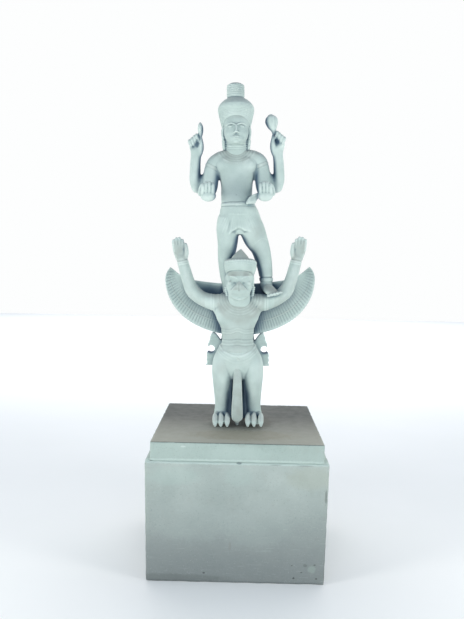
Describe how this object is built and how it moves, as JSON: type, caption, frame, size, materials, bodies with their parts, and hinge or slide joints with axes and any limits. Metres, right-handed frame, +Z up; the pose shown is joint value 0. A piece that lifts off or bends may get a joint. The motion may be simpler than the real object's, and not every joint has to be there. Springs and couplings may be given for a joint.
{
  "type": "vishnu on garuda statue",
  "caption": "Carved stone statue of four-armed Vishnu standing on the shoulders of winged Garuda, whose arms and wings are raised, set on a squared slab over a plain block plinth.",
  "frame": {"origin": "middle of the plinth block's underside, on the floor", "axes": "+Z up, -Y out of the front that both figures face, +X to the viewer's right as they face the front"},
  "size_m": [0.8738, 0.8538, 2.4589],
  "materials": {
    "statue_stone": "fine honed grey-green sandstone",
    "plinth_stone": "smooth grey sandstone, dusty and worn"
  },
  "bodies": {
    "root": {"statue": "statue_stone", "plinth_slab": "plinth_stone", "plinth_block": "plinth_stone"}
  },
  "joints": []
}
